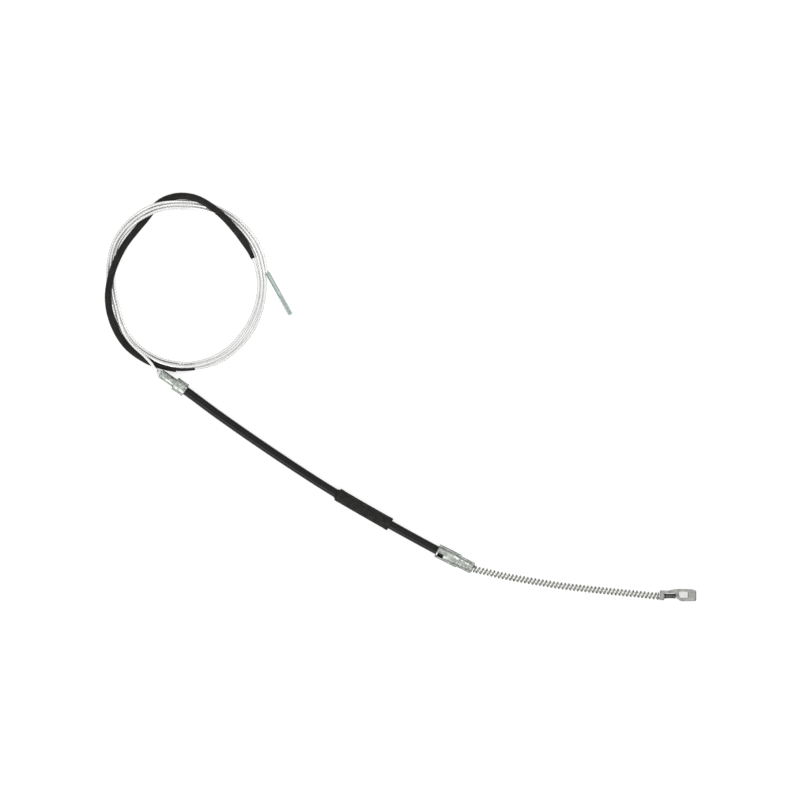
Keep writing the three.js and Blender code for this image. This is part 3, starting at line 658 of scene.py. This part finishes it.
def makeYoke():
    size = yoke
    top, bottom, tip, ledge = size["top"], size["bottom"], size["tip"], size["above"] - size["strap"]
    outline = [(0.0, -size["below"]), (size["neck"], -size["below"]), (size["neck"], ledge)]
    bend(outline, (9.0, ledge - 0.35), (13.8, ledge + 0.4), 5)
    bend(outline, (size["pocketEnd"], ledge + 0.4), (size["pocketEnd"], ledge - 1.0), 4)
    outline.append((size["pocketEnd"], size["windowFloor"] + 1.0))
    bend(outline, (17.2, bottom + 1.6), (20.2, bottom), 5)
    outline.append((tip - 2.0, bottom))
    bend(outline, (tip, bottom), (tip, bottom + 2.0), 5)
    outline.append((tip, top - 3.0))
    bend(outline, (tip, top - 1.0), (tip - 2.4, top - 0.6), 5)
    bend(outline, (28.8, top), (19.5, top), 6)
    bend(outline, (14.0, top - 0.1), (10.0, 5.55), 5)
    bend(outline, (7.0, 4.9), (3.9, size["above"]), 5)
    outline += [(0.6, size["above"]), (0.0, size["above"] - 0.6)]
    piece = cutPlate("yokeStrap", outline, size["width"])

    # the end is rounded across the strap, top and bottom
    through = 40.0
    for upper in (False, True):
        reach = size["rounding"]
        corner = [(tip - reach - 0.4, -0.4), (tip - reach - 0.4, -0.02)]
        for i in range(9):
            angle = math.pi / 2 * i / 8
            corner.append((tip - reach + reach * math.sin(angle), reach - reach * math.cos(angle)))
        corner += [(tip + 0.4, reach), (tip + 0.4, -0.4)]
        if upper:
            corner = [(x, size["width"] - y) for x, y in reversed(corner)]
        tool = cutPlate("corner", corner, through)
        tool.rotation_euler = (math.pi / 2, 0, 0)
        tool.location = (0, through / 2, 0)
        carve(piece, tool)

    start, end, floor, roof = size["windowStart"], size["windowEnd"], size["windowFloor"], size["windowTop"]
    opening = [(start, roof - 0.5), (start, floor + 3.0), (start + 2.0, floor + 0.2), (start + 2.6, floor),
               (end - 0.4, floor), (end, floor + 0.4), (end, roof - 0.4), (end - 0.4, roof), (start + 0.5, roof)]
    cutter = cutPlate("opening", opening, size["width"] + 2.0)
    cutter.location = (0, 0, -1.0)
    carve(piece, cutter)
    softenEdges(piece, size["soft"], 3, 38.0)

    restart()
    bpy.ops.mesh.primitive_cylinder_add(vertices=40, radius=size["bore"] / 2, depth=size["neck"] + 4.0,
                                        location=(size["neck"] / 2, 0, size["width"] / 2),
                                        rotation=(0, math.pi / 2, 0))
    carve(piece, bpy.context.object)
    working(piece)
    neck = Vector(yokeEnd["neck"])
    piece.matrix_world = Matrix.Translation(inRow((neck.x, neck.y, 0.0))) @ Matrix.Scale(mm, 4)
    bpy.ops.object.transform_apply(location=True, rotation=True, scale=True)
    smoothFaces(piece)
    return piece


wheelFerrulePiece = makeWheelFerrule()
bodyFerrulePiece = makeBodyFerrule()
noseBushPiece = makeNoseBush()
nipplePiece = makeNipple()
rodPiece = makeThreadedRod()
yokePiece = makeYoke()
print("ferrules, bush, nipple, rod and yoke modelled")


# ------- finishes
def newGroup(name, numbers, outputs):
    # takes a vector and then numbers, which have the given defaults
    group = bpy.data.node_groups.new(name, "ShaderNodeTree")
    group.interface.new_socket(name="Vector", in_out="INPUT", socket_type="NodeSocketVector")
    for label, value in numbers.items():
        group.interface.new_socket(name=label, in_out="INPUT", socket_type="NodeSocketFloat").default_value = value
    for label in outputs:
        group.interface.new_socket(name=label, in_out="OUTPUT", socket_type="NodeSocketFloat")
    return group, group.nodes.new("NodeGroupInput"), group.nodes.new("NodeGroupOutput")


def feed(tree, sockets, values):
    # each socket gets its number, its colour or another node's output
    for socket, value in zip(sockets, values):
        if isinstance(value, (int, float)):
            socket.default_value = value
        elif isinstance(value, tuple):
            socket.default_value = (*value, 1.0)
        else:
            tree.links.new(value, socket)


def mathNode(tree, operation, *values):
    node = tree.nodes.new("ShaderNodeMath")
    node.operation = operation
    feed(tree, node.inputs, values)
    return node.outputs[0]


def rangeNode(tree, value, fromLow, fromHigh, toLow, toHigh):
    node = tree.nodes.new("ShaderNodeMapRange")
    feed(tree, node.inputs, (value, fromLow, fromHigh, toLow, toHigh))
    return node.outputs[0]


def blendColours(tree, share, first, second):
    node = tree.nodes.new("ShaderNodeMix")
    node.data_type = "RGBA"
    feed(tree, (node.inputs[0], node.inputs[6], node.inputs[7]), (share, first, second))
    return node.outputs[2]


# Soft blotches with a finer grain in them, as plating, rubber and plastic all have at their own size
mottle, start, finish = newGroup("mottle", {
    "Blotches": 300.0, "Grain": 2500.0, "Grain Share": 0.35, "Contrast": 0.5}, ("Mask", "Fine"))
coarse = mottle.nodes.new("ShaderNodeTexNoise")
coarse.inputs["Detail"].default_value = 4.0
fine = mottle.nodes.new("ShaderNodeTexNoise")
fine.inputs["Detail"].default_value = 2.0
for texture, size in ((coarse, "Blotches"), (fine, "Grain")):
    mottle.links.new(start.outputs["Vector"], texture.inputs["Vector"])
    mottle.links.new(start.outputs[size], texture.inputs["Scale"])
half = mathNode(mottle, "MULTIPLY", start.outputs["Contrast"], 0.5)
low = mathNode(mottle, "SUBTRACT", 0.5, half)
high = mathNode(mottle, "ADD", 0.5, half)
mixed = mathNode(mottle, "ADD", coarse.outputs["Fac"], mathNode(
    mottle, "MULTIPLY", mathNode(mottle, "SUBTRACT", fine.outputs["Fac"], 0.5), start.outputs["Grain Share"]))
mottle.links.new(rangeNode(mottle, mixed, low, high, 0.0, 1.0), finish.inputs["Mask"])
mottle.links.new(fine.outputs["Fac"], finish.inputs["Fine"])

# Fine marks that run along a drawn, rolled or extruded piece: round the section seamless, long along it
drawnMarks, start, finish = newGroup("drawnMarks", {"Density": 8.0, "Along": 60.0}, ("Mask",))
parts = drawnMarks.nodes.new("ShaderNodeSeparateXYZ")
drawnMarks.links.new(start.outputs["Vector"], parts.inputs[0])
turn = mathNode(drawnMarks, "MULTIPLY", parts.outputs[0], 2 * math.pi)
place = drawnMarks.nodes.new("ShaderNodeCombineXYZ")
for i, operation in enumerate(("COSINE", "SINE")):
    drawnMarks.links.new(mathNode(drawnMarks, "MULTIPLY", mathNode(drawnMarks, operation, turn),
                                  start.outputs["Density"]), place.inputs[i])
drawnMarks.links.new(mathNode(drawnMarks, "MULTIPLY", parts.outputs[1], start.outputs["Along"]), place.inputs[2])
streaks = drawnMarks.nodes.new("ShaderNodeTexNoise")
streaks.inputs["Scale"].default_value = 1.0
streaks.inputs["Detail"].default_value = 3.0
drawnMarks.links.new(place.outputs[0], streaks.inputs["Vector"])
drawnMarks.links.new(streaks.outputs["Fac"], finish.inputs["Mask"])

# Scratches and rub marks in all directions
handling, start, finish = newGroup("handlingMarks", {"Scale": 400.0, "Amount": 0.5}, ("Mask",))
marks = handling.nodes.new("ShaderNodeTexNoise")
marks.inputs["Detail"].default_value = 5.0
marks.inputs["Distortion"].default_value = 2.4
handling.links.new(start.outputs["Vector"], marks.inputs["Vector"])
handling.links.new(start.outputs["Scale"], marks.inputs["Scale"])
ridge = mathNode(handling, "ABSOLUTE", mathNode(handling, "SUBTRACT", marks.outputs["Fac"], 0.5))
thin = rangeNode(handling, ridge, 0.0, 0.035, 1.0, 0.0)
handling.links.new(mathNode(handling, "MULTIPLY", thin, start.outputs["Amount"]), finish.inputs["Mask"])


def newMaterial(name):
    material = bpy.data.materials.new(name)
    material.use_nodes = True
    tree = material.node_tree
    shader = tree.nodes["Principled BSDF"]
    return material, tree, shader


def placeGroup(tree, group, vector, values):
    node = tree.nodes.new("ShaderNodeGroup")
    node.node_tree = group
    tree.links.new(vector, node.inputs[0])
    for label, value in values.items():
        node.inputs[label].default_value = value
    return node


def bumpFrom(tree, shader, height, strength, distance):
    bump = tree.nodes.new("ShaderNodeBump")
    bump.inputs["Strength"].default_value = strength
    bump.inputs["Distance"].default_value = distance
    tree.links.new(height, bump.inputs["Height"])
    tree.links.new(bump.outputs[0], shader.inputs["Normal"])


bumpDepth = {"steel": 0.00006, "polymer": 0.00008, "rope": 0.00004}


def startLook(name, look, grainShare=0.4):
    # blotches of tone with a fine grain in them, which also vary the roughness
    material, tree, shader = newMaterial(name)
    places = tree.nodes.new("ShaderNodeTexCoord")
    tone = placeGroup(tree, mottle, places.outputs["Object"], {
        "Blotches": look["blotches"], "Grain": look["grain"], "Grain Share": grainShare, "Contrast": look["contrast"]})
    tree.links.new(rangeNode(tree, tone.outputs["Mask"], 0.0, 1.0, *look["roughness"]), shader.inputs["Roughness"])
    return material, tree, shader, places, tone


def rubbedColour(tree, shader, places, mask, look):
    # dark to light by the mask, with thin bright rubs
    rubs = placeGroup(tree, handling, places.outputs["Object"], {"Scale": look["rubScale"], "Amount": look["rubs"]})
    colour = blendColours(tree, mask, look["dark"], look["light"])
    tree.links.new(blendColours(tree, rubs.outputs["Mask"], colour, look["rubbed"]), shader.inputs["Base Color"])


def platedSteel(name, look):
    # zinc or bare steel
    material, tree, shader, places, tone = startLook(name, look)
    rubbedColour(tree, shader, places, tone.outputs["Mask"], look)
    shader.inputs["Metallic"].default_value = 1.0
    shader.inputs["Specular Tint"].default_value = (*look["rim"], 1.0)
    bumpFrom(tree, shader, tone.outputs["Fine"], look["bump"], bumpDepth["steel"])
    return material


def mouldedPolymer(name, look):
    # rubber or plastic, with marks along it where it was extruded
    material, tree, shader, places, tone = startLook(name, look, grainShare=0.5)
    height, mask = tone.outputs["Fine"], tone.outputs["Mask"]
    if "marks" in look:
        lay = placeGroup(tree, drawnMarks, places.outputs["UV"], {"Density": look["density"], "Along": look["along"]})
        height = mathNode(tree, "ADD", height, mathNode(tree, "MULTIPLY", lay.outputs["Mask"], look["marks"]))
        mask = mathNode(tree, "MULTIPLY", mask, lay.outputs["Mask"])
    rubbedColour(tree, shader, places, mask, look)
    shader.inputs["Specular IOR Level"].default_value = look["specular"]
    bumpFrom(tree, shader, height, look["bump"], bumpDepth["polymer"])
    return material


def ropeSteel(name, look):
    # bright galvanised wires, drawn marks along each, and painted shade that darkens the valleys between them
    material, tree, shader, places, tone = startLook(name, look)
    parts = tree.nodes.new("ShaderNodeSeparateXYZ")
    tree.links.new(places.outputs["UV"], parts.inputs[0])
    wirePlace = mathNode(tree, "FRACT", mathNode(tree, "MULTIPLY", parts.outputs[0], float(rope["wires"])))
    fromCrest = mathNode(tree, "SUBTRACT", 0.5, mathNode(
        tree, "ABSOLUTE", mathNode(tree, "SUBTRACT", wirePlace, 0.5)))
    # painted shade: the base colour darkens towards the valleys between the wires
    valleyShade = rangeNode(tree, fromCrest, look["valleyFrom"], 0.5, 0.0, 1.0)
    lay = placeGroup(tree, drawnMarks, places.outputs["UV"], {"Density": look["density"], "Along": look["along"]})
    colour = blendColours(tree, tone.outputs["Mask"], look["dark"], look["light"])
    colour = blendColours(tree, rangeNode(tree, lay.outputs["Mask"], *look["marks"]), colour, look["between"])
    colour = blendColours(tree, mathNode(tree, "MULTIPLY", valleyShade, look["valleyShadeAmount"]), colour, look["valleyShade"])
    tree.links.new(colour, shader.inputs["Base Color"])
    shader.inputs["Metallic"].default_value = look["metallic"]
    shader.inputs["Specular Tint"].default_value = (*look["rim"], 1.0)
    bumpFrom(tree, shader, lay.outputs["Mask"], look["bump"], bumpDepth["rope"])
    return material


platings = {
    "ferruleZinc": {
        "dark": (0.165, 0.18, 0.165), "light": (0.53, 0.57, 0.52), "rubbed": (0.86, 0.87, 0.86), "blotches": 330.0,
        "grain": 2600.0, "contrast": 0.36, "rubs": 0.5, "rubScale": 260.0, "roughness": (0.42, 0.22),
        "rim": (0.12, 0.13, 0.12), "bump": 0.35},
    "brightZinc": {
        "dark": (0.18, 0.18, 0.165), "light": (0.48, 0.49, 0.46), "rubbed": (0.82, 0.83, 0.81), "blotches": 260.0,
        "grain": 2600.0, "contrast": 0.5, "rubs": 0.35, "rubScale": 300.0, "roughness": (0.3, 0.16),
        "rim": (0.2, 0.2, 0.2), "bump": 0.25},
    "springSteel": {
        "dark": (0.15, 0.15, 0.13), "light": (0.46, 0.46, 0.42), "rubbed": (0.92, 0.92, 0.89), "blotches": 500.0,
        "grain": 4000.0, "contrast": 0.6, "rubs": 0.25, "rubScale": 500.0, "roughness": (0.24, 0.14),
        "rim": (0.12, 0.12, 0.11), "bump": 0.15},
    "darkSteel": {
        "dark": (0.035, 0.035, 0.035), "light": (0.12, 0.12, 0.12), "rubbed": (0.42, 0.42, 0.42), "blotches": 380.0,
        "grain": 3000.0, "contrast": 0.6, "rubs": 0.35, "rubScale": 420.0, "roughness": (0.5, 0.34),
        "rim": (0.3, 0.3, 0.3), "bump": 0.3},
    "blueZinc": {
        "dark": (0.31, 0.39, 0.365), "light": (0.53, 0.62, 0.59), "rubbed": (0.92, 0.95, 0.94), "blotches": 280.0,
        "grain": 3000.0, "contrast": 0.6, "rubs": 0.3, "rubScale": 300.0, "roughness": (0.4, 0.24),
        "rim": (0.12, 0.14, 0.13), "bump": 0.25},
    "threadZinc": {
        "dark": (0.60, 0.67, 0.64), "light": (0.82, 0.89, 0.86), "rubbed": (0.92, 0.95, 0.93), "blotches": 400.0,
        "grain": 3000.0, "contrast": 0.6, "rubs": 0.2, "rubScale": 400.0, "roughness": (0.4, 0.26),
        "rim": (0.12, 0.14, 0.13), "bump": 0.2},
}
polymers = {
    "casingBlack": {
        "dark": (0.003, 0.003, 0.003), "light": (0.012, 0.012, 0.011), "rubbed": (0.04, 0.04, 0.04),
        "blotches": 160.0, "grain": 2200.0, "contrast": 0.6, "rubs": 0.25, "rubScale": 180.0,
        "roughness": (0.26, 0.15), "specular": 0.2, "density": 7.0, "along": 30.0, "marks": 0.8, "bump": 0.3},
    "guideRubber": {
        "dark": (0.009, 0.009, 0.0085), "light": (0.040, 0.040, 0.037), "rubbed": (0.08, 0.08, 0.075),
        "blotches": 150.0, "grain": 1700.0, "contrast": 0.5, "rubs": 0.25, "rubScale": 160.0,
        "roughness": (0.72, 0.55), "specular": 0.12, "density": 5.0, "along": 90.0, "marks": 0.5, "bump": 0.5},
    "hoseRubber": {
        "dark": (0.008, 0.0075, 0.007), "light": (0.034, 0.031, 0.029), "rubbed": (0.07, 0.065, 0.06),
        "blotches": 140.0, "grain": 1900.0, "contrast": 0.5, "rubs": 0.25, "rubScale": 170.0,
        "roughness": (0.58, 0.42), "specular": 0.12, "density": 6.0, "along": 45.0, "marks": 0.6, "bump": 0.4},
    "bushNylon": {
        "dark": (0.52, 0.55, 0.51), "light": (0.80, 0.83, 0.79), "rubbed": (0.88, 0.9, 0.87), "blotches": 260.0,
        "grain": 2200.0, "contrast": 0.6, "rubs": 0.2, "rubScale": 260.0, "roughness": (0.5, 0.36),
        "specular": 0.5, "bump": 0.25},
}
finishes = {name: platedSteel(name, look) for name, look in platings.items()}
finishes.update((name, mouldedPolymer(name, look)) for name, look in polymers.items())
# the valley colour and its amount below are painted shade between the wires
finishes["wireRope"] = ropeSteel("wireRope", {
    "dark": (0.86, 0.86, 0.85), "light": (0.96, 0.96, 0.95), "between": (0.70, 0.70, 0.69),
    "valleyShade": (0.34, 0.35, 0.33), "valleyFrom": 0.36, "valleyShadeAmount": 0.35, "blotches": 180.0, "grain": 2600.0,
    "contrast": 0.6, "density": 9.0, "along": 220.0, "marks": (0.35, 0.75, 0.0, 0.3), "roughness": (0.3, 0.2),
    "metallic": 0.86, "rim": (0.1, 0.1, 0.095), "bump": 0.3})
print("finishes mixed:", len(finishes))


def dress(piece, finishName, slotName, *nodes):
    piece.data.materials.clear()
    piece.data.materials.append(finishes[finishName])
    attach(piece, "root")
    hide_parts(*nodes)


dress(freeCable, "wireRope", "wire_rope", "cable_lead", "cable_coil", "hose_cable", "cable_tail")
dress(heldCable, "wireRope", "wire_rope", "inner_cable")
dress(casingJacket, "casingBlack", "black_casing", "casing_jacket")
dress(protectiveHose, "hoseRubber", "black_hose", "protective_hose")
dress(hoseLiner, "casingBlack", "black_casing", "hose_liner")
dress(guideSleeve, "guideRubber", "black_rubber", "guide_sleeve")
dress(returnSpring, "springSteel", "spring_steel", "return_spring")
dress(wheelFerrulePiece, "ferruleZinc", "ferrule_zinc", "wheel_ferrule")
dress(bodyFerrulePiece, "ferruleZinc", "ferrule_zinc", "body_ferrule")
dress(noseBushPiece, "bushNylon", "white_nylon", "nose_bush")
dress(nipplePiece, "darkSteel", "dark_steel", "cable_nipple")
dress(rodPiece, "blueZinc", "blue_zinc", "threaded_end")
dress(yokePiece, "brightZinc", "bright_zinc", "yoke")

# the rolled thread is brighter than the swaged shank
rodPiece.data.materials.append(finishes["threadZinc"])
for face in rodPiece.data.polygons:
    along = (face.center - inRow(rodEnd["start"])).dot(headingOf(rodEnd["heading"])) / mm
    if along > threadedRod["swageLength"] + threadedRod["runout"]:
        face.material_index = 1

# the casing's inner layers stay as they are and only get their finish
for nodeName, finishName in (("casing_liner", "bushNylon"), ("casing_armour", "springSteel")):
    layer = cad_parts[nodeName]
    for materialSlot in layer.material_slots:
        materialSlot.material = finishes[finishName]

# ------- floor, world and lamps
stage = {"floor": 3.0, "below": 0.0004, "floorColour": (0.66, 0.66, 0.66), "floorLift": 0.56,
         "overhead": 1.02, "horizon": 0.03, "rampFrom": 0.15, "rampTo": 0.5}
lamps = {"softLeft": {"place": (-1.2, -1.55, 1.25), "size": 1.4, "power": 15.0},
         "softRight": {"place": (1.2, 0.9, 1.9), "size": 1.0, "power": 5.0}}


def makeFloor():
    restart()
    bpy.ops.mesh.primitive_plane_add(size=2 * stage["floor"], location=(0, 0, -stage["below"]))
    floor = bpy.context.object
    floor.name = "floor"
    material, tree, shader = newMaterial("paleFloor")
    shader.inputs["Base Color"].default_value = (*stage["floorColour"], 1.0)
    shader.inputs["Roughness"].default_value = 0.9
    shader.inputs["Specular IOR Level"].default_value = 0.0
    light = tree.nodes.new("ShaderNodeLightPath")
    seen = mathNode(tree, "MAXIMUM", light.outputs["Is Camera Ray"], mathNode(
        tree, "MAXIMUM", light.outputs["Is Glossy Ray"], light.outputs["Is Transmission Ray"]))
    lift = tree.nodes.new("ShaderNodeEmission")
    tree.links.new(mathNode(tree, "MULTIPLY", seen, stage["floorLift"]), lift.inputs["Strength"])
    both = tree.nodes.new("ShaderNodeAddShader")
    tree.links.new(shader.outputs[0], both.inputs[0])
    tree.links.new(lift.outputs[0], both.inputs[1])
    tree.links.new(both.outputs[0], tree.nodes["Material Output"].inputs["Surface"])
    floor.data.materials.append(material)


def makeWorld():
    world = bpy.data.worlds.new("studio")
    bpy.context.scene.world = world
    world.use_nodes = True
    tree = world.node_tree
    sky = tree.nodes["Background"]
    direction = tree.nodes.new("ShaderNodeSeparateXYZ")
    tree.links.new(tree.nodes.new("ShaderNodeTexCoord").outputs["Generated"], direction.inputs[0])
    level = rangeNode(tree, direction.outputs[2], stage["rampFrom"], stage["rampTo"], stage["horizon"],
                      stage["overhead"])
    light = tree.nodes.new("ShaderNodeLightPath")
    backdrop = tree.nodes.new("ShaderNodeMix")
    tree.links.new(light.outputs["Is Camera Ray"], backdrop.inputs[0])
    tree.links.new(level, backdrop.inputs[2])
    backdrop.inputs[3].default_value = 1.0
    tree.links.new(backdrop.outputs[0], sky.inputs["Strength"])
    sky.inputs["Color"].default_value = (1.0, 1.0, 1.0, 1.0)


def addLamp(name, settings):
    # an area lamp that looks at the row's origin
    data = bpy.data.lights.new(name, "AREA")
    data.energy = settings["power"]
    data.size = settings["size"]
    lamp = bpy.data.objects.new(name, data)
    lamp.location = settings["place"]
    lamp.rotation_euler = (-Vector(settings["place"])).to_track_quat("-Z", "Y").to_euler()
    lamp.visible_camera = False
    bpy.context.collection.objects.link(lamp)


makeFloor()
makeWorld()
for lampName, lampSettings in lamps.items():
    addLamp(lampName, lampSettings)
bpy.context.scene.view_settings.view_transform = "Standard"

print("stage set")
